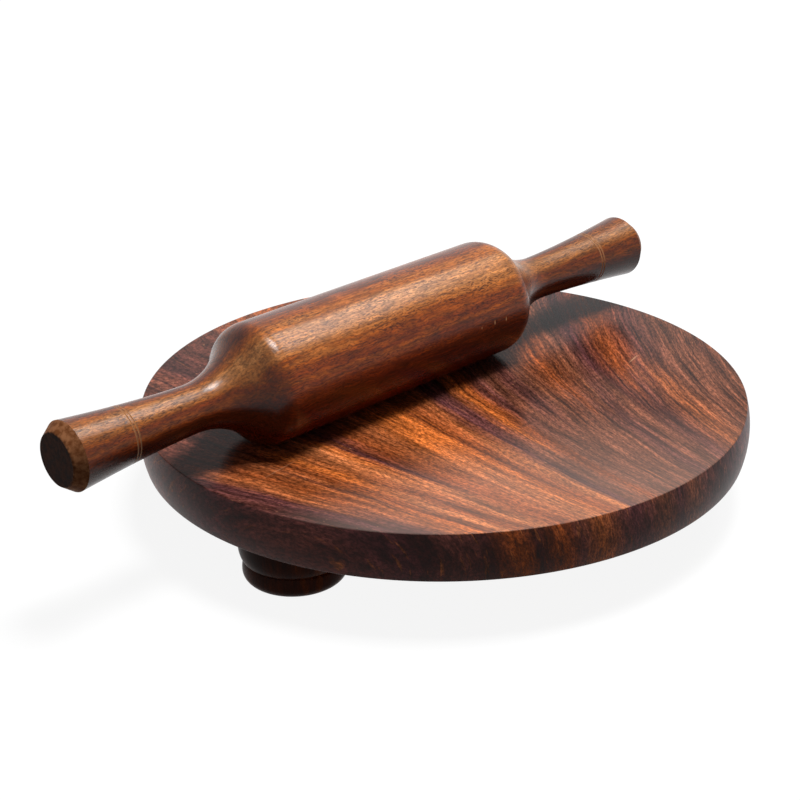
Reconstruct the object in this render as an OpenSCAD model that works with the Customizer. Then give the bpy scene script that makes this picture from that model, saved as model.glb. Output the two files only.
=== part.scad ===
// Chakla rolling board on three turned feet, with the rolling pin that lies on it.
// The feet stand on Z = 0. The pin's axis runs along X, with its middle at X = 0,
// and the board's axis is upright and crosses Y = 0.

/* [Board] */
// Diameter of the board at the fullest part of its rim
board_d = 258; // [240:1:264]
// Thickness of the board
board_t = 20; // [17:0.5:28]
// How far the middle of the rim stands out past its top and bottom edges
rim_bow = 1.5; // [0.6:0.1:3]
// Radius that takes the sharpness off both edges of the rim
edge_round = 0.6; // [0.3:0.1:1.5]
// How far the board's axis lies from the middle of the pin, along X
board_shift = 21.1; // [0:0.1:28]

/* [Feet] */
// Height of a foot, from the table to the board's underside
foot_h = 23.4; // [19:0.2:34]
// Diameter of the upper bead of a foot
collar_d = 44.6; // [43:0.2:52]
// Height of the upper bead's fullest ring above the table
collar_wide_z = 16; // [12:0.5:17]
// Diameter of the lower bead of a foot
bead_d = 42; // [40.4:0.2:50]
// Height of the lower bead's fullest ring above the table
bead_wide_z = 4.2; // [2:0.2:6]
// Height of the groove between the two beads
neck_z = 8.7; // [7:0.1:10.5]
// Diameter at the bottom of that groove
neck_d = 39.2; // [30:0.2:39.8]
// Diameter of the flat face that stands on the table
base_d = 33.8; // [26:0.2:37]
// Diameter of the flat face that meets the board
seat_d = 41; // [30:0.2:42]
// Distance from the rim's fullest part to the upper bead
foot_inset = 7.5; // [3:0.5:20]
// Direction of the left foot from the board's axis, in degrees
foot_angle = 188.7; // [180:0.1:200]
// Diameter of the glued spigot on top of a foot
spigot_d = 20; // [14:0.5:26]
// Length of the spigot
spigot_l = 5; // [3:0.5:7]
// Chamfer on the spigot's end
spigot_chamfer = 0.8; // [0.3:0.1:1.2]

/* [Foot screws] */
// Thread diameter of the wood screw in each foot
screw_d = 4.5; // [3.5:0.5:5.5]
// Root diameter between the threads
screw_root_d = 3.2; // [2.4:0.1:3.4]
// Distance from one thread to the next
screw_pitch = 1.8; // [1.2:0.1:2.4]
// Depth that the screw reaches into the board
screw_bite = 13.6; // [10:0.2:14.5]
// Length of the screw's point
screw_point = 3; // [2:0.5:4]
// Diameter of the countersunk head
head_d = 8.8; // [7.4:0.2:11]
// Height of the head's cone
head_h = 2.4; // [1.6:0.1:3.2]
// Depth of the head above the table
head_depth = 2; // [1:0.5:4]
// Length of each slot of the cross recess
cross_l = 4.6; // [3:0.2:6]
// Width of the slots of the cross recess
cross_w = 1.1; // [0.6:0.1:1.6]
// Depth of the cross recess
cross_deep = 1.6; // [0.8:0.1:2]

/* [Rolling pin] */
// Length of the pin over its two handles
pin_l = 320; // [312:1:360]
// Diameter of the barrel
barrel_d = 50.4; // [42:0.2:60]
// Length of the barrel's straight stretch
barrel_l = 126.4; // [100:0.2:150]
// How far the barrel's middle lies from the pin's middle, towards the left handle
barrel_off = 1.8; // [0:0.1:5]
// Length of the shoulder between barrel and neck
shoulder_l = 34.5; // [24:0.5:40]
// Share of a shoulder's bend that swells out, the rest being hollow
shoulder_swell = 0.25; // [0.2:0.05:0.5]
// Diameter of the neck, the slimmest part of a handle
grip_neck_d = 19.3; // [16:0.1:24]
// Diameter of a handle at its thick end
handle_d = 27.8; // [25:0.2:34]
// Diameter of the flat face on a handle's end
end_face_d = 21.2; // [14:0.2:24]
// Length of the chamfer around that face
end_chamfer = 4.6; // [2:0.1:7]
// Distance from a handle's end to its pair of scribed rings
ring_from_end = 28.6; // [14:0.2:40]
// Distance between the two scribed rings
ring_gap = 1.5; // [1:0.1:3]
// Width of a scribed ring
ring_w = 0.6; // [0.3:0.1:0.9]
// Depth of a scribed ring
ring_deep = 0.3; // [0.1:0.05:0.6]
// Distance of the pin's axis from the board's middle, along Y
pin_y = 16.4; // [0:0.2:60]

/* [Fits] */
// Gap under the pin where it lies on the board
rest_gap = 0.3; // [0.2:0.05:0.5]
// Radial clearance of a spigot in its socket
spigot_clear = 0.1; // [0.05:0.05:0.3]
// Space left above a spigot for glue
glue_gap = 0.3; // [0.1:0.1:0.8]
// Radial clearance of a screw in its foot
screw_clear = 0.3; // [0.1:0.05:0.5]
// Radial clearance of the thread in the board, and of the head in its seat
thread_clear = 0.05; // [0.02:0.01:0.1]
// Depth left free past the screw's point
drill_past = 1; // [0.5:0.1:1.5]

/* [Hidden] */
// Facets of a full circle
round_fn = 96;
$fn = round_fn;
// Points along a rounded stretch of an outline
arc_steps = 10;
// Points along the long flare of a handle
flare_steps = 9;
// How sharply a handle's flare gathers towards its end
flare_power = 1.5;
// How far a cutting shape runs past the face that it opens
past = 0.5;

foot_count = 3;
foot_step = 360 / foot_count;
foot_circle = board_d / 2 - foot_inset - collar_d / 2;
board_top = foot_h + board_t;

screw_tip = foot_h + screw_bite;
head_top = head_depth + head_h;
thread_start = foot_h + spigot_l + glue_gap - 2 * screw_pitch;
thread_end = screw_tip - screw_point;
thread_turns = floor((thread_end - thread_start) / screw_pitch);

pin_axis_z = board_top + rest_gap + barrel_d / 2;
pin_half = pin_l / 2;
flare_end = pin_half - end_chamfer;
ring_mid = pin_half - ring_from_end;

wood_board = "#7a4a2c";
wood_foot = "#4a2d1f";
wood_pin = "#7d4524";
steel = "#b9b6ae";

// Points of an elliptic bead, from its lower end to its upper end, as [radius, height]
function bead(z_low, r_low, z_wide, r_wide, z_high, r_high) = concat(
    [for (i = [0:arc_steps])
        let (a = 90 * i / arc_steps - 90)
        [r_low + (r_wide - r_low) * cos(a), z_wide + (z_wide - z_low) * sin(a)]],
    [for (i = [1:arc_steps])
        let (a = 90 * i / arc_steps)
        [r_high + (r_wide - r_high) * cos(a), z_wide + (z_high - z_wide) * sin(a)]]);

// Points of a circular arc, the first one left out
function arc_after(centre, radius, from, to) =
    [for (i = [1:arc_steps])
        let (a = from + (to - from) * i / arc_steps)
        [centre[0] + radius * cos(a), centre[1] + radius * sin(a)]];

// Moves a shape to the foot with this number, 0 being the left one
module at_foot(number)
    translate([board_shift, 0, 0])
        rotate([0, 0, foot_angle + foot_step * number])
            translate([foot_circle, 0, 0])
                children();

// Outline of the board's half section, with a bowed rim and rounded edges
module board_section() {
    half = board_t / 2;
    bow_r = (half * half + rim_bow * rim_bow) / (2 * rim_bow);
    bow_x = board_d / 2 - bow_r;
    bow_a = asin((half - edge_round) / (bow_r - edge_round));
    edge_x = bow_x + (bow_r - edge_round) * cos(bow_a);
    middle = foot_h + half;
    low_edge = [edge_x, foot_h + edge_round];
    high_edge = [edge_x, board_top - edge_round];
    polygon(concat(
        [[0, foot_h], [edge_x, foot_h]],
        arc_after(low_edge, edge_round, -90, -bow_a),
        arc_after([bow_x, middle], bow_r, -bow_a, bow_a),
        arc_after(high_edge, edge_round, bow_a, 90),
        [[0, board_top]]));
}

module board_disc() color(wood_board)
    difference() {
        translate([board_shift, 0, 0])
            rotate_extrude()
                board_section();
        for (number = [0:foot_count - 1])
            at_foot(number) {
                translate([0, 0, foot_h - past])
                    cylinder(h = past + spigot_l + glue_gap, d = spigot_d + 2 * spigot_clear);
                translate([0, 0, foot_h])
                    cylinder(h = screw_bite + drill_past, d = screw_d + 2 * thread_clear);
            }
    }

// One foot, upright on its own axis: two beads, a spigot and the screw's hole
module turned_foot() {
    spigot_r = spigot_d / 2;
    spigot_top = foot_h + spigot_l;
    seat_r = head_d / 2 + thread_clear;
    hole_r = screw_d / 2 + screw_clear;
    difference() {
        rotate_extrude()
            polygon(concat(
                [[0, 0]],
                bead(0, base_d / 2, bead_wide_z, bead_d / 2, neck_z, neck_d / 2),
                bead(neck_z, neck_d / 2, collar_wide_z, collar_d / 2, foot_h, seat_d / 2),
                [[spigot_r, foot_h],
                 [spigot_r, spigot_top - spigot_chamfer],
                 [spigot_r - spigot_chamfer, spigot_top],
                 [0, spigot_top]]));
        translate([0, 0, -past])
            cylinder(h = past + head_depth, r = seat_r);
        translate([0, 0, head_depth])
            cylinder(h = head_h, r1 = seat_r, r2 = hole_r);
        translate([0, 0, head_depth])
            cylinder(h = spigot_top, r = hole_r);
    }
}

module foot(number) color(wood_foot)
    at_foot(number)
        turned_foot();

// One wood screw, head down, with a ring for each turn of its thread
module wood_screw() {
    root_r = screw_root_d / 2;
    thread_r = screw_d / 2;
    threads = [for (i = [0:thread_turns - 1])
        let (z = thread_start + i * screw_pitch)
        each [[root_r, z], [thread_r, z + screw_pitch / 2]]];
    difference() {
        rotate_extrude()
            polygon(concat(
                [[0, head_depth], [head_d / 2, head_depth], [thread_r, head_top],
                 [thread_r, thread_start - screw_pitch]],
                threads,
                [[root_r, thread_end], [0, screw_tip]]));
        for (turn = [0, 90])
            rotate([0, 0, turn])
                translate([-cross_l / 2, -cross_w / 2, head_depth - past])
                    cube([cross_l, cross_w, past + cross_deep]);
    }
}

module foot_screw(number) color(steel)
    at_foot(number)
        wood_screw();

// Radius of a handle at this distance from the pin's middle, with its neck at the given distance
function handle_r(s, neck) =
    let (t = (s - neck) / (flare_end - neck))
    (grip_neck_d + (handle_d - grip_neck_d) * pow(max(t, 0), flare_power)) / 2;

// Points along a handle, the first one left out
function flare_after(from, to, neck) =
    [for (i = [1:flare_steps])
        let (s = from + (to - from) * i / flare_steps)
        [handle_r(s, neck), s]];

// Points of one scribed ring, a small V in the handle
function scribed_ring(s, neck) =
    [[handle_r(s - ring_w / 2, neck), s - ring_w / 2],
     [handle_r(s, neck) - ring_deep, s],
     [handle_r(s + ring_w / 2, neck), s + ring_w / 2]];

// Outline of one end of the pin, from the end of the barrel outwards, as [radius, distance]
function pin_end_outline(barrel_end) =
    let (drop = (barrel_d - grip_neck_d) / 2,
         bends_r = (shoulder_l * shoulder_l + drop * drop) / (2 * drop),
         swell_r = bends_r * shoulder_swell,
         hollow_r = bends_r - swell_r,
         bend_a = 2 * atan(drop / shoulder_l),
         neck = barrel_end + shoulder_l,
         first_ring = ring_mid - ring_gap / 2,
         second_ring = ring_mid + ring_gap / 2)
    concat(
        [[barrel_d / 2, barrel_end]],
        arc_after([barrel_d / 2 - swell_r, barrel_end], swell_r, 0, bend_a),
        arc_after([grip_neck_d / 2 + hollow_r, neck], hollow_r, 180 + bend_a, 180),
        flare_after(neck, first_ring - ring_w, neck),
        scribed_ring(first_ring, neck),
        scribed_ring(second_ring, neck),
        flare_after(second_ring + ring_w / 2, flare_end, neck),
        [[end_face_d / 2, pin_half]]);

module rolling_pin() color(wood_pin)
    translate([0, pin_y, pin_axis_z])
        rotate([0, 90, 0])
            rotate_extrude()
                let (left = pin_end_outline(barrel_l / 2 + barrel_off),
                     right = pin_end_outline(barrel_l / 2 - barrel_off))
                polygon(concat(
                    [[0, -pin_half]],
                    [for (i = [len(left) - 1:-1:0]) [left[i][0], -left[i][1]]],
                    right,
                    [[0, pin_half]]));

board_disc();
foot(0);  // foot_left
foot(1);  // foot_front
foot(2);  // foot_back
foot_screw(0);  // foot_screw_left
foot_screw(1);  // foot_screw_front
foot_screw(2);  // foot_screw_back
rolling_pin();
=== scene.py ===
"""Looks of a chakla rolling board on three turned feet, with the rolling pin that lies on it.

The board, its feet and the pin are turned pieces: each is a half outline that is spun about its
own axis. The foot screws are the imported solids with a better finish. Lengths are in metres,
and sizes of wood grain in millimetres.
"""

import logging
import math
from dataclasses import dataclass, field, replace
from enum import Enum
from typing import Any, Sequence, Union

import bmesh
import bpy
from mathutils import Matrix, Vector


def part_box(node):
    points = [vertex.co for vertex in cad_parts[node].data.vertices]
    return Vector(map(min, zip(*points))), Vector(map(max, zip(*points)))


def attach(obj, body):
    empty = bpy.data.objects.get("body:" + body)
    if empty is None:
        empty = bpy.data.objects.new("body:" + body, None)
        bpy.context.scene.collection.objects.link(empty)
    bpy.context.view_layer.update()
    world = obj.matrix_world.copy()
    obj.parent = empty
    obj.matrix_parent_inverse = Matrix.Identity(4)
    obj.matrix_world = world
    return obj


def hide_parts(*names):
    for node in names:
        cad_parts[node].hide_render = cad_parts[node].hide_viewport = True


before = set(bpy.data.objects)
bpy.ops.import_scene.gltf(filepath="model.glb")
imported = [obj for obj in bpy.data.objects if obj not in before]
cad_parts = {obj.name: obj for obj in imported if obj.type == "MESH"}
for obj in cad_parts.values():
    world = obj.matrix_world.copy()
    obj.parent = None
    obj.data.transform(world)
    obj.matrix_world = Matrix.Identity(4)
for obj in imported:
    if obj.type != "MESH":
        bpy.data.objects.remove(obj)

LOG = logging.getLogger("chakla")

MM = 0.001
BOARD_BODY = "board"
PIN_BODY = "rolling_pin"
# Vertices of a spun outline that lie closer than this are one
MERGE_DISTANCE = 1e-6
# How deep the open pores lie in the skin of lacquer
PORE_DEPTH = 0.05 * MM

Point = tuple[float, float]
# Polynomial, lowest power first
Curve = tuple[float, float, float]
# What goes into a node's input: a constant, a socket, or a node for its first live output
Source = Any


class Side(Enum):
    """The three feet, numbered round the board from the left one."""

    LEFT = 0
    FRONT = 1
    BACK = 2


class Kind(Enum):
    """Kinds of node that the finishes and the studio are made of."""

    BACKGROUND = "ShaderNodeBackground"
    BUMP = "ShaderNodeBump"
    COORDINATES = "ShaderNodeTexCoord"
    JOIN = "ShaderNodeCombineXYZ"
    LIGHT_PATH = "ShaderNodeLightPath"
    MAPPING = "ShaderNodeMapping"
    MATERIAL_OUTPUT = "ShaderNodeOutputMaterial"
    MATH = "ShaderNodeMath"
    MIX = "ShaderNodeMix"
    NOISE = "ShaderNodeTexNoise"
    PRINCIPLED = "ShaderNodeBsdfPrincipled"
    RAMP = "ShaderNodeValToRGB"
    RANGE = "ShaderNodeMapRange"
    SPLIT = "ShaderNodeSeparateXYZ"
    VECTOR_MATH = "ShaderNodeVectorMath"
    WORLD_OUTPUT = "ShaderNodeOutputWorld"


def linear(hex_colour: str) -> tuple[float, float, float, float]:
    """Turns an sRGB hex colour into linear light.

    Args:
        hex_colour: Six hex digits after a hash, such as "#7a4a2c".

    Returns:
        Linear red, green and blue, and an alpha of 1.
    """
    channels = [int(hex_colour[i:i + 2], 16) / 255 for i in (1, 3, 5)]
    light = [c / 12.92 if c <= 0.04045 else ((c + 0.055) / 1.055) ** 2.4 for c in channels]
    return (light[0], light[1], light[2], 1.0)


def set_inputs(tree: bpy.types.NodeTree, node: bpy.types.Node,
               inputs: Union[Sequence[Source], dict[Union[str, int], Source]]) -> None:
    """Sets or links a node's inputs.

    Args:
        tree: The node tree that holds the node.
        node: The node.
        inputs: The first inputs in their order, or any inputs by name or number.
    """
    pairs = inputs.items() if isinstance(inputs, dict) else enumerate(inputs)
    for key, value in pairs:
        if isinstance(value, bpy.types.Node):
            value = next(socket for socket in value.outputs if socket.enabled)
        if isinstance(value, bpy.types.NodeSocket):
            tree.links.new(value, node.inputs[key])
        else:
            node.inputs[key].default_value = value


def add_node(tree: bpy.types.NodeTree, kind: Kind,
             inputs: Union[Sequence[Source], dict[Union[str, int], Source]] = (),
             **settings: Any) -> bpy.types.Node:
    """Adds a node with its settings and links.

    Args:
        tree: The node tree that takes the node.
        kind: The kind of node.
        inputs: The first inputs in their order, or any inputs by name or number.
        settings: Properties of the node itself, such as operation.

    Returns:
        The new node.
    """
    node = tree.nodes.new(kind.value)
    for name, value in settings.items():
        setattr(node, name, value)
    set_inputs(tree, node, inputs)
    return node


def set_stops(ramp: bpy.types.Node, stops: Sequence[tuple[float, str]]) -> None:
    """Gives a colour ramp its stops.

    Args:
        ramp: The colour ramp node.
        stops: Pairs of position, from 0 to 1 and rising, and hex colour.
    """
    elements = ramp.color_ramp.elements
    while len(elements) < len(stops):
        elements.new(1.0)
    for element, (position, colour) in zip(elements, stops):
        element.position = position
        element.color = linear(colour)


def new_material(name: str) -> tuple[bpy.types.Material, bpy.types.NodeTree, bpy.types.Node]:
    """Makes an empty material with its output and one Principled shader.

    Args:
        name: The material's name.

    Returns:
        The material, its node tree and the shader node.
    """
    material = bpy.data.materials.new(name)
    material.use_nodes = True
    tree = material.node_tree
    tree.nodes.clear()
    shader = add_node(tree, Kind.PRINCIPLED)
    add_node(tree, Kind.MATERIAL_OUTPUT, {"Surface": shader})
    return material, tree, shader


def times(tree: bpy.types.NodeTree, colour: Source, share: Source, low: float,
          high: float) -> bpy.types.Node:
    """Multiplies a colour by a factor that runs from low to high with a share from 0 to 1."""
    factor = add_node(tree, Kind.RANGE, (share, 0.0, 1.0, low, high))
    return add_node(tree, Kind.VECTOR_MATH, (colour, factor), operation="MULTIPLY")


def millimetres(tree: bpy.types.NodeTree, centre: Sequence[float]) -> bpy.types.Node:
    """Adds object coordinates in millimetres.

    Args:
        tree: The material's node tree.
        centre: The point, in metres, that becomes the middle.

    Returns:
        The mapping node, of the texture kind, so it moves before it scales.
    """
    coords = add_node(tree, Kind.COORDINATES)
    return add_node(tree, Kind.MAPPING, {
        "Vector": coords.outputs["Object"], "Location": tuple(centre), "Scale": (MM, MM, MM)},
        vector_type="TEXTURE")


def sink_pores(tree: bpy.types.NodeTree, pores: Source, strength: float) -> bpy.types.Node:
    """Adds the bump of open pores, from their share and the bump's strength."""
    height = add_node(tree, Kind.MATH, (1.0, pores), operation="SUBTRACT")
    return add_node(tree, Kind.BUMP, {
        "Height": height, "Strength": strength, "Distance": PORE_DEPTH})


@dataclass(frozen=True)
class Lacquer:
    """Clear lacquer or oil on wood, one skin. The thinner it lies, the lower its level of shine."""

    roughness: float
    level: float

    def lay_on(self, shader: bpy.types.Node) -> None:
        """Sets the skin on a Principled shader, given as its node."""
        shader.inputs["Roughness"].default_value = self.roughness
        shader.inputs["Specular IOR Level"].default_value = self.level


@dataclass(frozen=True)
class Fade:
    """A soft step: low up to start, then over to high at end. It falls where end is the lesser."""

    start: float
    end: float
    low: float = 0.0
    high: float = 1.0

    def draw(self, tree: bpy.types.NodeTree, place: Source) -> bpy.types.Node:
        """Adds the node that reads a place and gives the step."""
        return add_node(tree, Kind.RANGE, (place, self.start, self.end, self.low, self.high))


@dataclass(frozen=True)
class Figure:
    """A noise drawn out along the grain, as a share from 0 to 1.

    The sizes are in millimetres: across the grain, along it, and in depth. Noise below low gives
    0 and above high gives 1, so narrow limits high up leave only scattered marks.
    """

    across: float
    along: float
    deep: float
    low: float
    high: float
    detail: float = 3.0
    roughness: float = 0.6
    offset: float = 0.0

    def draw(self, tree: bpy.types.NodeTree, grain: Source) -> bpy.types.Node:
        """Draws the figure.

        Args:
            tree: The material's node tree.
            grain: Grain coordinates in millimetres: across, along and deep.

        Returns:
            A node whose first output is the share.
        """
        place = add_node(tree, Kind.MAPPING, {
            "Vector": grain, "Location": (self.offset, self.offset, self.offset),
            "Scale": (1 / self.across, 1 / self.along, 1 / self.deep)})
        noise = add_node(tree, Kind.NOISE, {
            "Vector": place, "Scale": 1.0, "Detail": self.detail, "Roughness": self.roughness})
        return Fade(self.low, self.high).draw(tree, noise)


@dataclass(frozen=True)
class Shade:
    """A figure that makes the wood under it darker in some places and lighter in others."""

    figure: Figure
    dark: float
    light: float

    def lay_on(self, tree: bpy.types.NodeTree, grain: Source, colour: Source) -> bpy.types.Node:
        """Shades a colour by the figure, and gives the node with the new colour."""
        return times(tree, colour, self.figure.draw(tree, grain), self.dark, self.light)


@dataclass(frozen=True)
class Stain:
    """A figure whose lines or spots have a colour of their own."""

    figure: Figure
    colour: str
    strength: float

    def lay_on(self, tree: bpy.types.NodeTree, grain: Source, colour: Source) -> bpy.types.Node:
        """Stains a colour by the figure, and gives the node with the new colour."""
        share = add_node(tree, Kind.MATH, (self.figure.draw(tree, grain), self.strength),
                         operation="MULTIPLY")
        return add_node(tree, Kind.MIX, {0: share, 6: colour, 7: linear(self.colour)},
                        data_type="RGBA")


@dataclass(frozen=True)
class Nick:
    """A scratch or dent that shows pale bare wood. Sizes in millimetres, the turn in degrees."""

    across: float
    along: float
    length: float
    width: float
    turn: float = 0.0
    strength: float = 0.9
    # Its full strength is reached at this share of the way out to its edge
    core: float = 0.4
    # So tall that the nick doesn't end in the third direction
    height: float = 1000.0

    def draw(self, tree: bpy.types.NodeTree, surface: Source) -> bpy.types.Node:
        """Draws the nick.

        Args:
            tree: The material's node tree.
            surface: Flat coordinates on the surface, in millimetres.

        Returns:
            A node whose first output is the nick's strength inside it and 0 away from it.
        """
        place = add_node(tree, Kind.MAPPING, {
            "Vector": surface, "Location": (self.across, self.along, 0.0),
            "Rotation": (0.0, 0.0, math.radians(self.turn)),
            "Scale": (self.length / 2, self.width / 2, self.height)}, vector_type="TEXTURE")
        distance = add_node(tree, Kind.VECTOR_MATH, (place,), operation="LENGTH")
        return Fade(1.0, self.core, 0.0, self.strength).draw(tree, distance)


class Tone(Enum):
    """Colours of the board's heartwood, from its palest streaks to its darkest."""

    HONEY = "#b66b3e"
    AMBER = "#b05d29"
    RUSSET = "#9b552f"
    CHESTNUT = "#874320"
    COCOA = "#744430"
    UMBER = "#5e352f"
    PLUM = "#4e2b2c"
    INK = "#351a18"


class PinTone(Enum):
    """Colours of the pin's hardwood, from its palest bands to its pores."""

    TAN = "#b67843"
    GINGER = "#a45e26"
    AUBURN = "#90460f"
    SIENNA = "#793008"
    MAROON = "#5a2108"
    PORE = "#331005"


# Place of a streak along u, its tone near the pin, and its tone at the front
Streak = tuple[float, Tone, Tone]

TOP_STREAKS: tuple[Streak, ...] = (
    (-112, Tone.INK, Tone.INK), (-103, Tone.UMBER, Tone.INK), (-96, Tone.PLUM, Tone.PLUM),
    (-88, Tone.RUSSET, Tone.UMBER), (-80, Tone.CHESTNUT, Tone.RUSSET),
    (-72, Tone.RUSSET, Tone.AMBER), (-66, Tone.CHESTNUT, Tone.CHESTNUT),
    (-60, Tone.AMBER, Tone.HONEY), (-54, Tone.RUSSET, Tone.CHESTNUT),
    (-47, Tone.HONEY, Tone.RUSSET), (-42, Tone.AMBER, Tone.HONEY),
    (-37, Tone.PLUM, Tone.RUSSET), (-29, Tone.CHESTNUT, Tone.CHESTNUT),
    (-20, Tone.RUSSET, Tone.RUSSET), (-9, Tone.AMBER, Tone.HONEY), (2, Tone.AMBER, Tone.AMBER),
    (8, Tone.CHESTNUT, Tone.CHESTNUT), (18, Tone.RUSSET, Tone.HONEY),
    (24, Tone.PLUM, Tone.PLUM), (31, Tone.UMBER, Tone.COCOA), (38, Tone.AMBER, Tone.COCOA),
    (44, Tone.CHESTNUT, Tone.CHESTNUT), (50, Tone.UMBER, Tone.COCOA),
    (58, Tone.COCOA, Tone.COCOA), (67, Tone.UMBER, Tone.COCOA), (76, Tone.COCOA, Tone.COCOA),
    (90, Tone.CHESTNUT, Tone.COCOA), (104, Tone.COCOA, Tone.UMBER), (117, Tone.PLUM, Tone.COCOA),
    (134, Tone.CHESTNUT, Tone.UMBER), (156, Tone.UMBER, Tone.RUSSET),
    (174, Tone.COCOA, Tone.COCOA))

# The rim cuts the streaks across their ends, where they are darker
RIM_STREAKS: tuple[Streak, ...] = tuple((u, tone, tone) for u, tone in (
    (-112, Tone.UMBER), (-102, Tone.PLUM), (-94, Tone.INK), (-84, Tone.UMBER), (-70, Tone.INK),
    (-58, Tone.CHESTNUT), (-46, Tone.INK), (-31, Tone.CHESTNUT), (-20, Tone.UMBER),
    (-6, Tone.RUSSET), (12, Tone.UMBER), (24, Tone.PLUM), (38, Tone.UMBER), (52, Tone.COCOA),
    (70, Tone.PLUM), (86, Tone.COCOA), (104, Tone.UMBER), (126, Tone.INK), (160, Tone.PLUM),
    (190, Tone.PLUM)))


@dataclass(frozen=True)
class BoardWood:
    """Flat-sawn sheesham, Indian rosewood, sanded and lacquered.

    The grain lines fan out from the front of the board to its back. A coordinate u numbers them in
    millimetres, as they cross the middle of the board.
    """

    # Gives the eye dark streaks over an orange-brown ground, with a silky, broken fibre on top
    centre: tuple[float, float, float]
    name: str = "lacquered_sheesham"
    # The top has a thin skin: real lacquer shines more, but its surroundings here are all white
    lacquer: Lacquer = Lacquer(0.2, 0.05)
    brightness: float = 0.88
    streaks: tuple[Streak, ...] = TOP_STREAKS
    # Two scratches in the lacquer, and the bare wood that they show
    nicks: tuple[Nick, ...] = (
        Nick(80.8, -38.0, 11.0, 0.9, 16.0, 0.7), Nick(-98.0, -8.0, 27.0, 0.6, 9.0, 0.25))
    bare_wood: str = "#c89a74"

    # How wide the fan is open at y, and the x at which its middle line runs there
    fan_width: Curve = (0.97, 0.00493, 0.0000105)
    fan_middle: Curve = (-31.0, 0.1543, 0.000767)
    # How far the grain leans aside per millimetre of height
    lean: float = 0.25
    # Slow waves in the grain, their size and how far they push it
    sway_size: float = 30.0
    sway_reach: float = 6.0

    # Ragged edges of the broad streaks, and how far they reach across
    rag: Figure = Figure(3.0, 45.0, 12.0, 0.0, 1.0, 5.0, 0.65)
    rag_reach: float = 14.0
    # Tongues in which the streaks' tones near the pin run out into those at the front
    tongue: Figure = Figure(7.0, 200.0, 20.0, 0.3, 0.7, 2.0, 0.5, 21.0)
    tongue_reach: float = 44.0
    front: Fade = Fade(-18.0, -48.0)
    # Darker behind the pin, to the left: a step along y times one along x
    darker_back: Fade = Fade(-2.0, 22.0, 0.0, 0.85)
    darker_left: Fade = Fade(10.0, -30.0)

    # Dark lines of late wood and pale lines of early wood, as long as the board
    veins: Stain = Stain(Figure(2.2, 120.0, 9.0, 0.58, 0.70, 3.0, 0.5, 11.0), Tone.INK.value, 0.7)
    threads: Stain = Stain(Figure(1.5, 70.0, 9.0, 0.62, 0.74, 3.0, 0.5, 31.0), Tone.HONEY.value, 0.55)
    # Growth rings, 5 mm wide where the board is sawn flat
    rings: Shade = Shade(Figure(5.0, 60.0, 9.0, 0.33, 0.67, 2.0, 0.5, 3.0), 0.58, 1.48)
    # Bundles of fibre: single fibres are far too fine to show, so these are drawn 2 mm wide
    fibres: Shade = Shade(Figure(2.0, 26.0, 4.0, 0.38, 0.62, 3.0, 0.6, 13.0), 0.62, 1.42)
    # Ripple where the fibres dip in and out of the surface
    mottle: Shade = Shade(Figure(1.1, 2.3, 1.3, 0.40, 0.60, 3.0, 0.7, 7.0), 0.52, 1.52)
    # Broad soft streaks on the dark side of the board, past these values of u
    smoke: Shade = Shade(Figure(3.0, 34.0, 5.0, 0.38, 0.62, 4.0, 0.6, 27.0), 0.50, 1.28)
    dark_side: Fade = Fade(22.0, 55.0)
    # Real pores are 0.2 mm wide, too fine to show, so they are drawn 0.6 mm wide
    pores: Figure = Figure(0.6, 3.4, 0.8, 0.56, 0.68, 2.0, 0.5, 5.0)
    pore_share: float = 0.55
    pore_bump: float = 0.25
    # Few and pale specks of dust in the pores
    flecks: Stain = Stain(Figure(0.9, 2.2, 1.2, 0.70, 0.80, 1.0, 0.5, 17.0), "#cf9468", 0.5)
    # Painted sheen: a pale wash that stands in for the lacquer's reflection towards the front left,
    # along x + y and then along y
    painted_sheen: Fade = Fade(-30.0, -125.0, 0.0, 0.16)
    painted_sheen_front: Fade = Fade(-30.0, -72.0)
    painted_sheen_colour: str = "#e0c4b8"

    def build(self) -> bpy.types.Material:
        """Builds the material and returns it."""
        material, tree, shader = new_material(self.name)
        place = millimetres(tree, self.centre)
        axes = add_node(tree, Kind.SPLIT, (place,))
        grain = self._grain(tree, place, axes)
        pores = self.pores.draw(tree, grain)
        colour = self._ground(tree, grain, axes)
        colour = self._texture(tree, grain, colour, pores)
        # Painted sheen of the lacquer towards the front left
        colour = self._paint_sheen(tree, axes, colour)
        for nick in self.nicks:
            scratch = nick.draw(tree, place)
            colour = add_node(tree, Kind.MIX, {0: scratch, 6: colour, 7: linear(self.bare_wood)},
                              data_type="RGBA")
        brightness = (self.brightness, self.brightness, self.brightness)
        lit = add_node(tree, Kind.VECTOR_MATH, (colour, brightness), operation="MULTIPLY")
        set_inputs(tree, shader, {
            "Base Color": lit, "Normal": sink_pores(tree, pores, self.pore_bump)})
        self.lacquer.lay_on(shader)
        return material

    def _curve(self, tree: bpy.types.NodeTree, y: Source, curve: Curve) -> bpy.types.Node:
        """Adds the nodes that work out a curve at y."""
        slope = add_node(tree, Kind.MATH, (y, curve[2], curve[1]), operation="MULTIPLY_ADD")
        return add_node(tree, Kind.MATH, (y, slope, curve[0]), operation="MULTIPLY_ADD")

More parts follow.
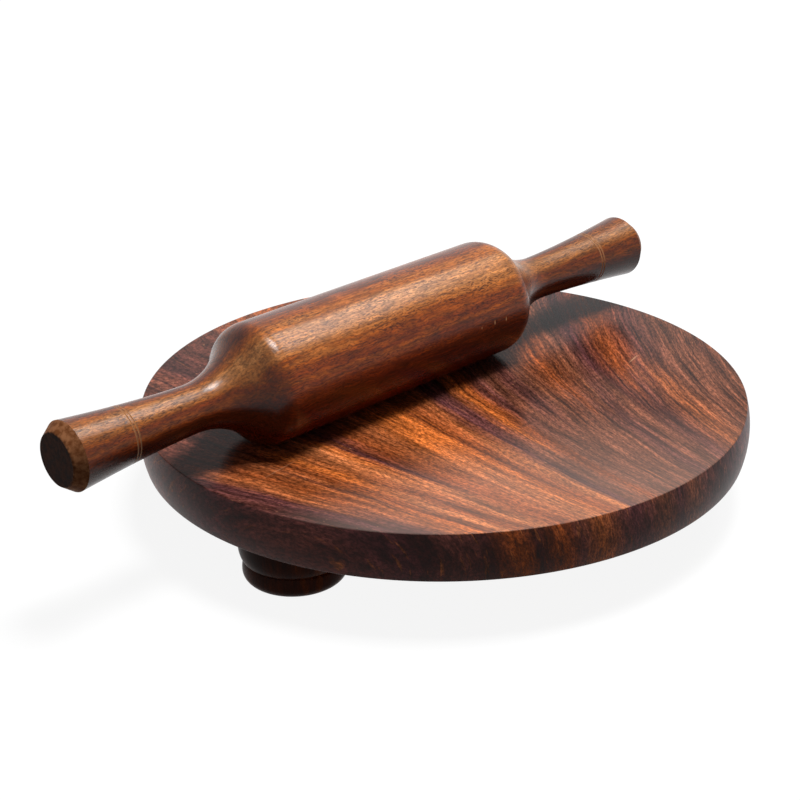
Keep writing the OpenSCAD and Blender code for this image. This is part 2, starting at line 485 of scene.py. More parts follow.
    def _grain(self, tree: bpy.types.NodeTree, place: Source, axes: bpy.types.Node) -> bpy.types.Node:
        """Turns the position on the board into grain coordinates.

        Args:
            tree: The material's node tree.
            place: Position from the middle of the board's top, in millimetres.
            axes: The same position split into X, Y and Z.

        Returns:
            A node whose output is (u, y, z) in millimetres.
        """
        x, y, z = axes.outputs
        off_middle = add_node(tree, Kind.MATH, (x, self._curve(tree, y, self.fan_middle)),
                              operation="SUBTRACT")
        fan = add_node(tree, Kind.MATH, (off_middle, self._curve(tree, y, self.fan_width)),
                       operation="DIVIDE")
        leaning = add_node(tree, Kind.MATH, (z, self.lean, fan), operation="MULTIPLY_ADD")
        sway = add_node(tree, Kind.NOISE, {
            "Vector": place, "Scale": 1 / self.sway_size, "Detail": 2.0})
        swayed = add_node(tree, Kind.MATH, (sway, self.sway_reach, leaning),
                          operation="MULTIPLY_ADD")
        across = add_node(tree, Kind.MATH, (swayed, -self.sway_reach / 2), operation="ADD")
        return add_node(tree, Kind.JOIN, (across, y, z))

    def _ground(self, tree: bpy.types.NodeTree, grain: Source,
                axes: bpy.types.Node) -> bpy.types.Node:
        """Lays the broad streaks and the darker patch behind the pin, to the left.

        Args:
            tree: The material's node tree.
            grain: Grain coordinates in millimetres.
            axes: Position from the middle of the board's top, split into X, Y and Z.

        Returns:
            The node with the colour.
        """
        low, high = self.streaks[0][0], self.streaks[-1][0]
        split = add_node(tree, Kind.SPLIT, (grain,))
        ragged = add_node(tree, Kind.MATH, (self.rag.draw(tree, grain), self.rag_reach, split),
                          operation="MULTIPLY_ADD")
        middle = self.rag_reach / 2
        share = Fade(low + middle, high + middle).draw(tree, ragged)
        ramps = []
        for column in (1, 2):
            ramp = add_node(tree, Kind.RAMP, (share,))
            set_stops(ramp, [((streak[0] - low) / (high - low), streak[column].value)
                             for streak in self.streaks])
            ramps.append(ramp)
        tongues = self.tongue.draw(tree, grain)
        line = add_node(tree, Kind.MATH, (tongues, self.tongue_reach, split.outputs["Y"]),
                        operation="MULTIPLY_ADD")
        streaked = add_node(tree, Kind.MIX, {
            0: self.front.draw(tree, line), 6: ramps[0], 7: ramps[1]}, data_type="RGBA")
        # Darker behind the pin, to the left: the two steps multiplied, then mixed towards umber
        heart = add_node(tree, Kind.MATH, (
            self.darker_back.draw(tree, axes.outputs["Y"]),
            self.darker_left.draw(tree, axes.outputs["X"])), operation="MULTIPLY")
        return add_node(tree, Kind.MIX, {0: heart, 6: streaked, 7: linear(Tone.UMBER.value)},
                        data_type="RGBA")

    def _texture(self, tree: bpy.types.NodeTree, grain: Source, colour: Source,
                 pores: Source) -> bpy.types.Node:
        """Adds the fine lines, fibres, ripple, pores and specks of the wood.

        Args:
            tree: The material's node tree.
            grain: Grain coordinates in millimetres.
            colour: The colour under them.
            pores: Share of the pores.

        Returns:
            The node with the colour.
        """
        for layer in (self.veins, self.threads, self.rings, self.fibres, self.mottle):
            colour = layer.lay_on(tree, grain, colour)
        u = add_node(tree, Kind.SPLIT, (grain,))
        smoked = add_node(tree, Kind.MIX, {
            0: self.dark_side.draw(tree, u), 6: colour, 7: self.smoke.lay_on(tree, grain, colour)},
            data_type="RGBA")
        shown = add_node(tree, Kind.MATH, (pores, self.pore_share), operation="MULTIPLY")
        pored = add_node(tree, Kind.MIX, {0: shown, 6: smoked, 7: linear(Tone.INK.value)},
                         data_type="RGBA")
        return self.flecks.lay_on(tree, grain, pored)

    def _paint_sheen(self, tree: bpy.types.NodeTree, axes: bpy.types.Node,
              colour: Source) -> bpy.types.Node:
        """Lays the painted sheen, a pale wash in place of the lacquer's reflection, over a colour, at a
        position from the middle of the board's top.
        """
        x, y, _ = axes.outputs
        forward = add_node(tree, Kind.MATH, (x, y), operation="ADD")
        # Painted sheen: strongest at the front left
        sheen_share = add_node(tree, Kind.MATH, (
            self.painted_sheen.draw(tree, forward), self.painted_sheen_front.draw(tree, y)), operation="MULTIPLY")
        return add_node(tree, Kind.MIX, {0: sheen_share, 6: colour, 7: linear(self.painted_sheen_colour)},
                        data_type="RGBA")


@dataclass(frozen=True)
class PinWood:
    """Reddish brown hardwood, turned along the grain, sanded and lacquered."""

    # Gives the eye lengthwise bands, short dark pores and a soft shine along the barrel
    axis_point: tuple[float, float, float]
    ring_place: float
    ring_gap: float
    ring_width: float
    lacquer: Lacquer = Lacquer(0.22, 0.25)
    # Angle of each lengthwise band about the axis, from the front over the top, and its tone. Because
    # they are tied to the angle, the bands hold painted light as well as the wood's own bands: the pale
    # band over the top front is partly a painted highlight along the lamp's highlight, and the dark
    # bands low at the front are painted shade.
    bands: tuple[tuple[float, PinTone], ...] = (
        (-180, PinTone.AUBURN), (-140, PinTone.SIENNA), (-110, PinTone.AUBURN),
        (-70, PinTone.SIENNA), (-36, PinTone.MAROON), (-12, PinTone.MAROON), (6, PinTone.SIENNA),
        (14, PinTone.AUBURN), (24, PinTone.SIENNA), (33, PinTone.AUBURN), (40, PinTone.GINGER),
        (62, PinTone.TAN), (73, PinTone.GINGER), (84, PinTone.AUBURN), (98, PinTone.MAROON),
        (125, PinTone.AUBURN), (150, PinTone.GINGER), (180, PinTone.AUBURN))
    # How the bands wander about the axis, and how many degrees they do so
    wander: Figure = Figure(5.0, 60.0, 5.0, 0.0, 1.0, 4.0, 0.6, 19.0)
    wander_turn: float = 44.0
    # Three dents in a row near the right end of the barrel: along the pin, and round it
    nicks: tuple[Nick, ...] = (
        Nick(44.0, 0.6, 0.9, 2.6), Nick(51.0, 0.2, 0.9, 2.4), Nick(36.0, 0.4, 0.5, 1.4))
    dent_wood: str = "#d8a070"
    # The scribed rings cut through the lacquer: their bare wood, how strongly it shows, and where
    # its soft edge starts and ends, in ring widths from the ring's middle
    ring_wood: str = "#c08a5c"
    ring_strength: float = 0.75
    ring_edge: tuple[float, float] = (0.75, 0.4)

    # Small curls in the grain, their size and how far they push it
    curl_size: float = 9.0
    curl_reach: float = 3.2
    # Fibre bundles, drawn 0.8 mm wide because single fibres are too fine to show
    fibres: Shade = Shade(Figure(0.8, 14.0, 0.8, 0.36, 0.64, 3.0, 0.6, 9.0), 0.60, 1.45)
    # Ripple where the fibres dip in and out of the surface
    mottle: Shade = Shade(Figure(1.6, 7.0, 1.6, 0.34, 0.66, 3.0, 0.6, 3.0), 0.72, 1.28)
    # Real pores are 0.2 mm wide, so these are drawn twice as wide, and thicker in some drifts
    pores: Figure = Figure(0.45, 1.9, 0.45, 0.49, 0.61, 2.0, 0.5, 5.0)
    drifts: Figure = Figure(5.0, 30.0, 5.0, 0.3, 0.7, 2.0, 0.5, 15.0)
    least_pores: float = 0.35
    drift_pores: float = 0.5
    pore_bump: float = 0.3
    # The shoulders cut across the grain: there the pores are short dots, and the end grain soaks up more
    # oil and is darker; this darkening is also painted shade on the shoulders. Both read how far the
    # surface faces along the pin.
    short_pores: Fade = Fade(0.45, 0.15, 0.25)
    cut_grain_and_shade: Fade = Fade(0.2, 0.5)
    cut_and_shade_tone: float = 0.62
    # Sign of each handle along the pin and how dark its wood is, and the distances from the
    # pin's middle between which the barrel's tone goes over into it
    handle_tones: tuple[tuple[float, float], ...] = ((-1.0, 0.8), (1.0, 0.68))
    handle_reach: Fade = Fade(62.0, 96.0)

    def build(self) -> bpy.types.Material:
        """Builds the material and returns it."""
        material, tree, shader = new_material("lacquered_hardwood_pin")
        place = millimetres(tree, self.axis_point)
        axes = add_node(tree, Kind.SPLIT, (place,))
        x, y, z = axes.outputs
        curl = add_node(tree, Kind.NOISE, {
            "Vector": place, "Scale": 1 / self.curl_size, "Detail": 2.0})
        curled = add_node(tree, Kind.MATH, (curl, self.curl_reach, z), operation="MULTIPLY_ADD")
        grain = add_node(tree, Kind.JOIN, (y, x, curled))
        pores = self.pores.draw(tree, grain)
        colour = self._ground(tree, grain, axes)
        for layer in (self.fibres, self.mottle):
            colour = layer.lay_on(tree, grain, colour)
        colour = self._cut_grain_and_shade(tree, grain, colour, pores)
        for side, tone in self.handle_tones:
            reach = add_node(tree, Kind.MATH, (x, side), operation="MULTIPLY")
            colour = times(tree, colour, self.handle_reach.draw(tree, reach), 1.0, tone)
        colour = self._dents(tree, axes, self._rings(tree, axes, colour))
        set_inputs(tree, shader, {
            "Base Color": colour, "Normal": sink_pores(tree, pores, self.pore_bump)})
        self.lacquer.lay_on(shader)
        return material

    def _ground(self, tree: bpy.types.NodeTree, grain: Source,
                axes: bpy.types.Node) -> bpy.types.Node:
        """Lays the lengthwise bands, with their painted highlight and painted shade.

        Args:
            tree: The material's node tree.
            grain: Grain coordinates in millimetres.
            axes: Position from the middle of the pin, split into X, Y and Z.

        Returns:
            The node with the colour.
        """
        front = add_node(tree, Kind.MATH, (axes.outputs["Y"], -1.0), operation="MULTIPLY")
        angle = add_node(tree, Kind.MATH, (axes.outputs["Z"], front), operation="ARCTAN2")
        moved = add_node(tree, Kind.MATH, (
            self.wander.draw(tree, grain), math.radians(self.wander_turn), angle),
            operation="MULTIPLY_ADD")
        middle = self.wander_turn / 2
        share = Fade(math.radians(middle - 180), math.radians(middle + 180)).draw(tree, moved)
        ramp = add_node(tree, Kind.RAMP, (share,))
        set_stops(ramp, [((turn + 180) / 360, tone.value) for turn, tone in self.bands])
        return ramp

    def _cut_grain_and_shade(self, tree: bpy.types.NodeTree, grain: Source, colour: Source,
                   pores: Source) -> bpy.types.Node:
        """Adds the pores, and the darker wood where the shoulders cut across the grain, which is partly
        painted shade.

        Args:
            tree: The material's node tree.
            grain: Grain coordinates in millimetres.
            colour: The colour under them.
            pores: Share of the pores.

        Returns:
            The node with the colour.
        """
        coords = add_node(tree, Kind.COORDINATES)
        normal = add_node(tree, Kind.SPLIT, (coords.outputs["Normal"],))
        slope = add_node(tree, Kind.MATH, (normal,), operation="ABSOLUTE")
        seen = add_node(tree, Kind.MATH, (pores, self.short_pores.draw(tree, slope)),
                        operation="MULTIPLY")
        drift = add_node(tree, Kind.MATH, (
            self.drifts.draw(tree, grain), self.drift_pores, self.least_pores),
            operation="MULTIPLY_ADD")
        shown = add_node(tree, Kind.MATH, (seen, drift), operation="MULTIPLY")
        pored = add_node(tree, Kind.MIX, {0: shown, 6: colour, 7: linear(PinTone.PORE.value)},
                         data_type="RGBA")
        # Darker end grain on the shoulders, partly painted shade
        return times(tree, pored, self.cut_grain_and_shade.draw(tree, slope), 1.0, self.cut_and_shade_tone)

    def _rings(self, tree: bpy.types.NodeTree, axes: bpy.types.Node,
               colour: Source) -> bpy.types.Node:
        """Adds the pale pairs of scribed rings to a colour, given the position on the pin."""
        along = add_node(tree, Kind.MATH, (axes,), operation="ABSOLUTE")
        from_pair = add_node(tree, Kind.MATH, (along, self.ring_place / MM), operation="SUBTRACT")
        off_pair = add_node(tree, Kind.MATH, (from_pair,), operation="ABSOLUTE")
        from_ring = add_node(tree, Kind.MATH, (off_pair, self.ring_gap / 2 / MM),
                             operation="SUBTRACT")
        off_ring = add_node(tree, Kind.MATH, (from_ring,), operation="ABSOLUTE")
        outer, inner = [self.ring_width * share / MM for share in self.ring_edge]
        shown = add_node(tree, Kind.MATH, (
            Fade(outer, inner).draw(tree, off_ring), self.ring_strength), operation="MULTIPLY")
        return add_node(tree, Kind.MIX, {0: shown, 6: colour, 7: linear(self.ring_wood)},
                        data_type="RGBA")

    def _dents(self, tree: bpy.types.NodeTree, axes: bpy.types.Node,
               colour: Source) -> bpy.types.Node:
        """Adds the dents in the front of the barrel to a colour, given the position on the pin."""
        x, y, z = axes.outputs
        surface = add_node(tree, Kind.JOIN, (x, z))
        front = add_node(tree, Kind.MATH, (y, 0.0), operation="LESS_THAN")
        for nick in self.nicks:
            dent = add_node(tree, Kind.MATH, (nick.draw(tree, surface), front),
                            operation="MULTIPLY")
            colour = add_node(tree, Kind.MIX, {0: dent, 6: colour, 7: linear(self.dent_wood)},
                              data_type="RGBA")
        return colour


@dataclass(frozen=True)
class EndGrain:
    """The pin's ends: sawn across the grain, with a chamfer, and left almost dry."""

    # Gives the eye a dark, dull, spotted face, and paler wood on the chamfer round it
    axis_point: tuple[float, float, float]
    face_radius: float
    lacquer: Lacquer = Lacquer(0.5, 0.02)
    # Spots of end grain, drawn 2.4 mm wide because the real rows of pores are too fine to show
    spots: Figure = Figure(2.4, 2.4, 2.4, 0.40, 0.60, 4.0, 0.65)
    face_tones: tuple[str, str] = ("#1c0d08", "#402216")
    chamfer_tones: tuple[str, str] = ("#6e4024", "#996644")
    # The edge between them is worn by up to this much, in waves that come so often per mm
    wear: float = 2.0
    wear_waves: float = 0.7
    # Half of the width over which one goes over into the other
    blur: float = 0.5

    def build(self) -> bpy.types.Material:
        """Builds the material and returns it."""
        material, tree, shader = new_material("dry_end_grain")
        place = millimetres(tree, self.axis_point)
        axes = add_node(tree, Kind.SPLIT, (place,))
        flat = add_node(tree, Kind.JOIN, (axes.outputs["Y"], axes.outputs["Z"]))
        radius = add_node(tree, Kind.VECTOR_MATH, (flat,), operation="LENGTH")
        waves = add_node(tree, Kind.NOISE, {
            "Vector": place, "Scale": self.wear_waves, "Detail": 2.0})
        worn = add_node(tree, Kind.MATH, (waves, self.wear, radius), operation="MULTIPLY_ADD")
        edge = self.face_radius / MM + self.wear / 2
        spots = self.spots.draw(tree, place)
        face, chamfer = [
            add_node(tree, Kind.MIX, {0: spots, 6: linear(dark), 7: linear(light)}, data_type="RGBA")
            for dark, light in (self.face_tones, self.chamfer_tones)]
        colour = add_node(tree, Kind.MIX, {
            0: Fade(edge - self.blur, edge + self.blur).draw(tree, worn), 6: face, 7: chamfer},
            data_type="RGBA")
        set_inputs(tree, shader, {"Base Color": colour})
        self.lacquer.lay_on(shader)
        return material


@dataclass(frozen=True)
class FootWood:
    """The board's own sheesham, from its darker heart, turned with its grain upright and oiled."""

    # Gives the eye upright dark brown bands that are nearly dull
    lacquer: Lacquer = Lacquer(0.35, 0.04)
    bands: Figure = Figure(7.0, 40.0, 7.0, 0.3, 0.7)
    tones: tuple[tuple[float, str], ...] = ((0.2, "#250f0a"), (0.6, "#4a2214"), (1.0, "#84421c"))
    # Fibre bundles, drawn 0.9 mm wide because single fibres are too fine to show
    fibres: Shade = Shade(Figure(0.9, 6.0, 0.9, 0.3, 0.7, 3.0, 0.6, 9.0), 0.55, 1.5)

    def build(self) -> bpy.types.Material:
        """Builds the material and returns it."""
        material, tree, shader = new_material("oiled_sheesham_feet")
        place = millimetres(tree, (0.0, 0.0, 0.0))
        grain = add_node(tree, Kind.MAPPING, {
            "Vector": place, "Rotation": (math.radians(90), 0.0, 0.0)})
        ramp = add_node(tree, Kind.RAMP, (self.bands.draw(tree, grain),))
        set_stops(ramp, self.tones)
        set_inputs(tree, shader, {"Base Color": self.fibres.lay_on(tree, grain, ramp)})
        self.lacquer.lay_on(shader)
        return material


@dataclass(frozen=True)
class ScrewSteel:
    """Zinc-plated mild steel, cold headed."""

    # Gives the eye a dull grey metal with patches of a slightly darker grey, about 1 mm wide
    tones: tuple[tuple[float, str], ...] = ((0.3, "#9d9a93"), (0.7, "#b9b6ae"))
    roughness: float = 0.38
    patches_per_metre: float = 900.0

    def build(self) -> bpy.types.Material:
        """Builds the material and returns it."""
        material, tree, shader = new_material("zinc_plated_steel")
        coords = add_node(tree, Kind.COORDINATES)
        patches = add_node(tree, Kind.NOISE, {
            "Vector": coords.outputs["Object"], "Scale": self.patches_per_metre, "Detail": 3.0})
        ramp = add_node(tree, Kind.RAMP, (patches,))
        set_stops(ramp, self.tones)
        set_inputs(tree, shader, {
            "Base Color": ramp, "Metallic": 1.0, "Roughness": self.roughness})
        return material


def spin_outline(name: str, outline: Sequence[Point], steps: int, place: Matrix,
                 sharp_degrees: float = 32.0) -> bpy.types.Object:
    """Spins a half outline about Z into a closed turned piece, and moves its mesh into place.

    Args:
        name: The object's name.
        outline: Pairs of radius and height, both ends on the axis.
        steps: Number of steps round the axis.
        place: Matrix that takes the spun mesh to its place in the frame.
        sharp_degrees: Edges that turn more than this stay crisp.

    Returns:
        The new object, linked to the scene.
    """
    shape = bmesh.new()
    verts = [shape.verts.new((radius, 0.0, height)) for radius, height in outline]
    edges = [shape.edges.new(pair) for pair in zip(verts, verts[1:])]
    bmesh.ops.spin(shape, geom=verts + edges, cent=(0, 0, 0), axis=(0, 0, 1), dvec=(0, 0, 0),
                   angle=math.tau, steps=steps, use_merge=True, use_duplicate=False)
    bmesh.ops.remove_doubles(shape, verts=shape.verts[:], dist=MERGE_DISTANCE)
    bmesh.ops.transform(shape, matrix=place, verts=shape.verts[:])
    bmesh.ops.recalc_face_normals(shape, faces=shape.faces[:])
    for face in shape.faces:
        face.smooth = True
    for edge in shape.edges:
        edge.smooth = edge.calc_face_angle(0.0) < math.radians(sharp_degrees)
    mesh = bpy.data.meshes.new(name)
    shape.to_mesh(mesh)
    shape.free()
    piece = bpy.data.objects.new(name, mesh)
    bpy.context.scene.collection.objects.link(piece)
    return piece


def arc(centre: Point, radius: float, start: float, end: float, steps: int) -> list[Point]:
    """Points of a circular arc.

    Args:
        centre: The arc's centre.
        radius: The arc's radius.
        start: First angle in degrees.
        end: Last angle in degrees.
        steps: Number of steps.

    Returns:
        steps + 1 points, both ends included.
    """
    angles = [math.radians(start + (end - start) * i / steps) for i in range(steps + 1)]
    return [(centre[0] + radius * math.cos(a), centre[1] + radius * math.sin(a)) for a in angles]


@dataclass
class Board:
    """The round board: a disc with a flat top and a slightly bowed rim."""

    rim_bow: float = 1.5 * MM
    edge_round: float = 0.6 * MM
    steps: int = 256
    edge_steps: int = 6
    bow_steps: int = 16
    # Faces that point up more than this are the top
    top_slope: float = 0.5
    low: Vector = field(default_factory=lambda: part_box("board_disc")[0])
    high: Vector = field(default_factory=lambda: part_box("board_disc")[1])

    @property
    def centre(self) -> Vector:
        """Middle of the board's top face."""
        return Vector(((self.low[0] + self.high[0]) / 2, (self.low[1] + self.high[1]) / 2, self.high[2]))

    def outline(self) -> list[Point]:
        """Half outline from the middle of the underside to the middle of the top."""
        half = (self.high[2] - self.low[2]) / 2
        middle = (self.high[2] + self.low[2]) / 2
        radius = (self.high[0] - self.low[0]) / 2
        bow = (half ** 2 + self.rim_bow ** 2) / (2 * self.rim_bow)
        bow_angle = math.asin((half - self.edge_round) / (bow - self.edge_round))
        edge_x = radius - bow + (bow - self.edge_round) * math.cos(bow_angle)
        turn = math.degrees(bow_angle)
        low_edge = (edge_x, self.low[2] + self.edge_round)
        high_edge = (edge_x, self.high[2] - self.edge_round)
        return ([(0.0, self.low[2])]
                + arc(low_edge, self.edge_round, -90, -turn, self.edge_steps)
                + arc((radius - bow, middle), bow, -turn, turn, self.bow_steps)[1:-1]
                + arc(high_edge, self.edge_round, turn, 90, self.edge_steps)
                + [(0.0, self.high[2])])

    def rim_wood(self) -> BoardWood:
        """The same wood where the rim cuts across its grain: oiled, darker and without the painted
        sheen.
        """
        return BoardWood(
            tuple(self.centre), "oiled_sheesham_rim", Lacquer(0.36, 0.1), brightness=1.15,
            streaks=RIM_STREAKS, nicks=(), painted_sheen=replace(BoardWood.painted_sheen, high=0.0),
            flecks=replace(BoardWood.flecks, strength=0.0))

    def build(self) -> bpy.types.Object:
        """Builds the board, dresses it and returns it."""
        place = Matrix.Translation((self.centre.x, self.centre.y, 0.0))
        piece = spin_outline("board_turned", self.outline(), self.steps, place)
        piece.data.materials.append(BoardWood(tuple(self.centre)).build())
        piece.data.materials.append(self.rim_wood().build())
        for face in piece.data.polygons:
            face.material_index = 0 if face.normal.z > self.top_slope else 1
        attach(piece, BOARD_BODY)
        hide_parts("board_disc")
        return piece


@dataclass
class Feet:
    """The three turned feet and the screws that hold them."""

    steps: int = 128
    bead_steps: int = 14
    base_radius: float = 16.9 * MM
    bead_radius: float = 21.0 * MM
    bead_wide: float = 4.2 * MM
    neck_radius: float = 19.6 * MM
    neck_height: float = 8.7 * MM
    collar_radius: float = 22.3 * MM
    collar_wide: float = 16.0 * MM
    seat_radius: float = 20.5 * MM
    hole_radius: float = 4.45 * MM
    head_depth: float = 2.0 * MM

    def outline(self, seat: float) -> list[Point]:
        """Half outline of a foot, open at the screw's hole.

        Args:
            seat: Height of the board's underside.

        Returns:
            Points from the middle of the hole to the middle of the seat.
        """
        lower = self._bead(0.0, self.base_radius, self.bead_wide, self.bead_radius,
                           self.neck_height, self.neck_radius)
        upper = self._bead(self.neck_height, self.neck_radius, self.collar_wide,
                           self.collar_radius, seat, self.seat_radius)
        hole = [(0.0, self.head_depth), (self.hole_radius, self.head_depth), (self.hole_radius, 0.0)]
        return hole + lower + upper[1:] + [(0.0, seat)]

    def _bead(self, z_low: float, r_low: float, z_wide: float, r_wide: float,
              z_high: float, r_high: float) -> list[Point]:
        """Elliptic bead through its low end, its widest ring and its high end, given in turn."""
        n = self.bead_steps
        rise = [math.radians(90 * i / n - 90) for i in range(n)]
        fall = [math.radians(90 * i / n) for i in range(n + 1)]
        return ([(r_low + (r_wide - r_low) * math.cos(a), z_wide + (z_wide - z_low) * math.sin(a))
                 for a in rise]
                + [(r_high + (r_wide - r_high) * math.cos(a), z_wide + (z_high - z_wide) * math.sin(a))
                   for a in fall])

    def build(self) -> list[bpy.types.Object]:
        """Builds the feet, dresses them and the screws, and returns them all."""
        wood = FootWood().build()
        steel = ScrewSteel().build()
        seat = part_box("board_disc")[0][2]
        pieces = []
        for side in Side:
            name = f"foot_{side.name.lower()}"
            low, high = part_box(name)
            place = Matrix.Translation(((low[0] + high[0]) / 2, (low[1] + high[1]) / 2, 0.0))
            piece = spin_outline(f"{name}_turned", self.outline(seat), self.steps, place)
            piece.data.materials.append(wood)
            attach(piece, BOARD_BODY)
            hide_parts(name)
            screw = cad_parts[f"foot_screw_{side.name.lower()}"]
            screw.data.materials.clear()
            screw.data.materials.append(steel)
            pieces += [piece, screw]
        return pieces


@dataclass
class RollingPin:
    """The rolling pin: one piece, with a barrel, two ogee shoulders and two flared handles."""

    steps: int = 192
    barrel_steps: int = 12
    swell_steps: int = 16
    hollow_steps: int = 20
    flare_steps: int = 8
    barrel_length: float = 126.4 * MM
    barrel_offset: float = 1.8 * MM
    shoulder_length: float = 34.5 * MM
    shoulder_swell: float = 0.25
    neck_radius: float = 9.65 * MM
    handle_radius: float = 13.9 * MM
    end_face_radius: float = 10.6 * MM
    end_chamfer: float = 4.6 * MM
    ring_from_end: float = 28.6 * MM
    ring_gap: float = 1.5 * MM
    ring_width: float = 0.6 * MM
    ring_depth: float = 0.3 * MM
    flare_power: float = 1.5
    # Faces with their middle in this share of the chamfer, or past it, are end grain
    dry_share: float = 0.98
    low: Vector = field(default_factory=lambda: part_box("rolling_pin")[0])
    high: Vector = field(default_factory=lambda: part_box("rolling_pin")[1])

    @property
    def radius(self) -> float:
        """Radius of the barrel."""
        return (self.high[2] - self.low[2]) / 2

    @property
    def half(self) -> float:
        """Half of the pin's length."""
        return (self.high[0] - self.low[0]) / 2

    @property
    def centre(self) -> Vector:
        """Middle of the pin."""
        return Vector([(a + b) / 2 for a, b in zip(self.low, self.high)])

    def handle_radius_at(self, distance: float, neck: float) -> float:
        """Radius of a handle at a distance from the pin's middle, with its neck at another."""
        share = max(0.0, (distance - neck) / (self.half - self.end_chamfer - neck))
        return self.neck_radius + (self.handle_radius - self.neck_radius) * share ** self.flare_power

    def flare(self, start: float, end: float, neck: float) -> list[Point]:
        """Points along a handle, from start to end, the first one left out."""
        n = self.flare_steps
        distances = [start + (end - start) * i / n for i in range(1, n + 1)]
        return [(self.handle_radius_at(d, neck), d) for d in distances]

    def end_outline(self, barrel_end: float) -> list[Point]:
        """Outline of one end of the pin, from the barrel's end to the middle of the end face.

        Args:
            barrel_end: Distance from the pin's middle to where the barrel's straight stretch ends.

        Returns:
            Pairs of radius and distance.
        """
        drop = self.radius - self.neck_radius
        run = self.shoulder_length
        bends = (run ** 2 + drop ** 2) / (2 * drop)
        swell = bends * self.shoulder_swell
        hollow = bends - swell
        turn = math.degrees(2 * math.atan(drop / run))
        neck = barrel_end + run
        rows = self.barrel_steps
        points = [(self.radius, barrel_end * i / rows) for i in range(1, rows + 1)]
        points += arc((self.radius - swell, barrel_end), swell, 0, turn, self.swell_steps)[1:]
        points += arc((self.neck_radius + hollow, neck), hollow, 180 + turn, 180, self.hollow_steps)[1:]
        at = neck
        for ring in (-self.ring_gap / 2, self.ring_gap / 2):
            middle = self.half - self.ring_from_end + ring
            points += self.flare(at, middle - self.ring_width / 2, neck)
            points.append((self.handle_radius_at(middle, neck) - self.ring_depth, middle))
            at = middle + self.ring_width / 2
            points.append((self.handle_radius_at(at, neck), at))
        points += self.flare(at, self.half - self.end_chamfer, neck)
        points += [(self.end_face_radius, self.half), (0.0, self.half)]
        return points

    def build(self) -> bpy.types.Object:
        """Builds the pin, dresses it and returns it."""
        left = self.end_outline(self.barrel_length / 2 + self.barrel_offset)
        right = self.end_outline(self.barrel_length / 2 - self.barrel_offset)
        outline = [(r, -d) for r, d in reversed(left)] + [(self.radius, 0.0)] + right
        place = Matrix.Translation(self.centre) @ Matrix.Rotation(math.radians(90), 4, "Y")
        piece = spin_outline("rolling_pin_turned", outline, self.steps, place)
        piece.data.materials.append(PinWood(
            tuple(self.centre), self.half - self.ring_from_end, self.ring_gap, self.ring_width).build())
        piece.data.materials.append(EndGrain(tuple(self.centre), self.end_face_radius).build())
        start = self.half - self.end_chamfer * self.dry_share
        for face in piece.data.polygons:
            face.material_index = 1 if abs(face.center.x - self.centre.x) > start else 0
        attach(piece, PIN_BODY)
        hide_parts("rolling_pin")
        return piece


@dataclass(frozen=True)
class Softbox:
    """A rectangular white lamp that faces the set. Lengths are in metres, angles in degrees."""

    name: str
    azimuth: float
    elevation: float
    distance: float
    width: float
    height: float
    watts: float

    def build(self, target: Vector) -> None:
        """Hangs the lamp.

        Args:
            target: The point that it faces.
        """
        lamp = bpy.data.lights.new(self.name, "AREA")
        lamp.shape = "RECTANGLE"
        lamp.size = self.width
        lamp.size_y = self.height
        lamp.energy = self.watts
        towards = direction(self.azimuth, self.elevation)
        lamp_object = bpy.data.objects.new(self.name, lamp)
        lamp_object.location = target + towards * self.distance
        lamp_object.rotation_euler = towards.to_track_quat("Z", "Y").to_euler()
        bpy.context.scene.collection.objects.link(lamp_object)


def direction(azimuth: float, elevation: float) -> Vector:
    """Unit vector from the set towards a viewer.

    Args:
        azimuth: 0 for a viewer on the -Y side, 90 for one on the +X side, in degrees.
        elevation: Height above the horizon, in degrees.

    Returns:
        The unit vector.
    """
    a, e = math.radians(azimuth), math.radians(elevation)
    return Vector((math.sin(a) * math.cos(e), -math.cos(a) * math.cos(e), math.sin(e)))


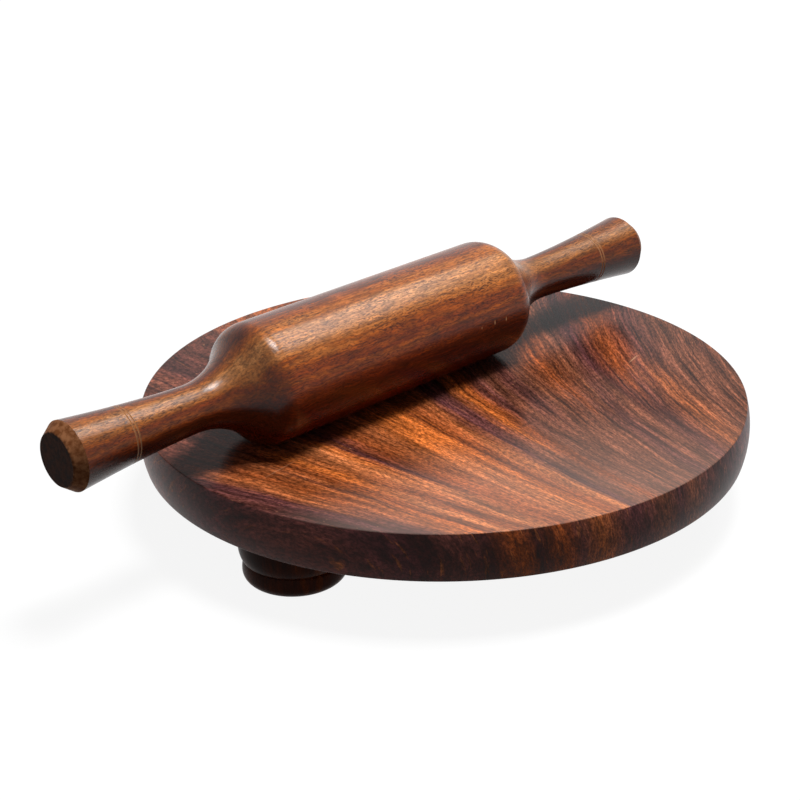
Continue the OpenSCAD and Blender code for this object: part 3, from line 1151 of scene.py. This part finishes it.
@dataclass
class Studio:
    """Pale floor, soft light and the photograph's camera."""

    target: Vector
    softboxes: tuple[Softbox, ...] = (
        Softbox("key_softbox", 42.8, 80.6, 1.2, 0.36, 0.34, 14.5),
        Softbox("side_softbox", 84.5, 56.8, 1.2, 0.7, 0.29, 4.85),
    )
    white: str = "#ffffff"
    # The world's light on the set; where it is seen or mirrored it is 1
    world_strength: float = 0.12
    floor_side: float = 8.0
    floor_segments: int = 4
    floor_grey: str = "#606060"
    floor_roughness: float = 0.9
    # Glow of the floor where it is seen: less near the set, so that a shadow shows there
    floor_glow: Fade = Fade(200.0, 700.0, 0.9, 1.0)
    # The photograph's camera, from its outlines
    azimuth: float = -44.98
    elevation: float = 24.149
    roll: float = 0.587
    distance: float = 745.1 * MM
    focal_pixels: float = 1750.0
    image_pixels: float = 800.0
    target_pixel: Point = (442.9, 388.8)
    sensor: float = 36.0
    farthest: float = 50.0

    def build(self) -> None:
        """Builds the studio."""
        self._camera()
        self._world()
        self._floor()
        for softbox in self.softboxes:
            softbox.build(self.target)

    def _camera(self) -> None:
        """Places the camera so that the board's middle falls on its pixel."""
        data = bpy.data.cameras.new("photo_camera")
        data.sensor_width = self.sensor
        data.lens = self.focal_pixels / self.image_pixels * self.sensor
        data.clip_end = self.farthest
        back = direction(self.azimuth, self.elevation)
        right = Vector((0, 0, 1)).cross(back).normalized()
        level = Matrix((right, back.cross(right), back)).transposed().to_4x4()
        half = self.image_pixels / 2
        ray = Vector(((self.target_pixel[0] - half) / self.focal_pixels,
                      (half - self.target_pixel[1]) / self.focal_pixels, -1.0))
        aside = Vector((0, 0, -1)).rotation_difference(ray).to_matrix().to_4x4()
        rolled = Matrix.Rotation(math.radians(self.roll), 4, "Z")
        camera = bpy.data.objects.new("photo_camera", data)
        turn = level @ rolled.inverted() @ aside.inverted()
        camera.matrix_world = Matrix.Translation(self.target + back * self.distance) @ turn
        bpy.context.scene.collection.objects.link(camera)
        bpy.context.scene.camera = camera

    def _seen_rays(self, tree: bpy.types.NodeTree) -> bpy.types.Node:
        """Adds nodes that give 1 where a surface is seen, mirrored or seen through glass, else 0."""
        rays = add_node(tree, Kind.LIGHT_PATH)
        seen = add_node(tree, Kind.MATH, (
            rays.outputs["Is Camera Ray"], rays.outputs["Is Glossy Ray"]), operation="MAXIMUM")
        return add_node(tree, Kind.MATH, (seen, rays.outputs["Is Transmission Ray"]),
                        operation="MAXIMUM")

    def _world(self) -> None:
        """Lights the set evenly, and shows as white where it is seen or mirrored."""
        world = bpy.data.worlds.new("studio_world")
        bpy.context.scene.world = world
        world.use_nodes = True
        tree = world.node_tree
        tree.nodes.clear()
        strength = add_node(tree, Kind.RANGE, (
            self._seen_rays(tree), 0.0, 1.0, self.world_strength, 1.0))
        light = add_node(tree, Kind.BACKGROUND, (linear(self.white), strength))
        add_node(tree, Kind.WORLD_OUTPUT, {"Surface": light})

    def _floor(self) -> None:
        """Lays the white floor, which keeps the set's shadow."""
        shape = bmesh.new()
        bmesh.ops.create_grid(shape, x_segments=self.floor_segments,
                              y_segments=self.floor_segments, size=self.floor_side / 2)
        mesh = bpy.data.meshes.new("studio_floor")
        shape.to_mesh(mesh)
        shape.free()
        floor = bpy.data.objects.new("studio_floor", mesh)
        bpy.context.scene.collection.objects.link(floor)
        material, tree, shader = new_material("white_floor")
        distance = add_node(tree, Kind.VECTOR_MATH, (millimetres(tree, self.target),),
                            operation="LENGTH")
        glow = add_node(tree, Kind.MATH, (
            self._seen_rays(tree), self.floor_glow.draw(tree, distance)), operation="MULTIPLY")
        set_inputs(tree, shader, {
            "Base Color": linear(self.floor_grey), "Roughness": self.floor_roughness,
            "Specular IOR Level": 0.0, "Emission Color": linear(self.white),
            "Emission Strength": glow})
        floor.data.materials.append(material)


def main() -> None:
    logging.basicConfig(level=logging.INFO, format="%(name)s: %(message)s")
    bpy.context.scene.view_settings.view_transform = "Standard"
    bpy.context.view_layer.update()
    board = Board()
    pieces = [board.build(), *Feet().build(), RollingPin().build()]
    Studio(board.centre).build()
    for piece in pieces:
        LOG.info("%s has %d faces", piece.name, len(piece.data.polygons))


if __name__ == "__main__":
    main()
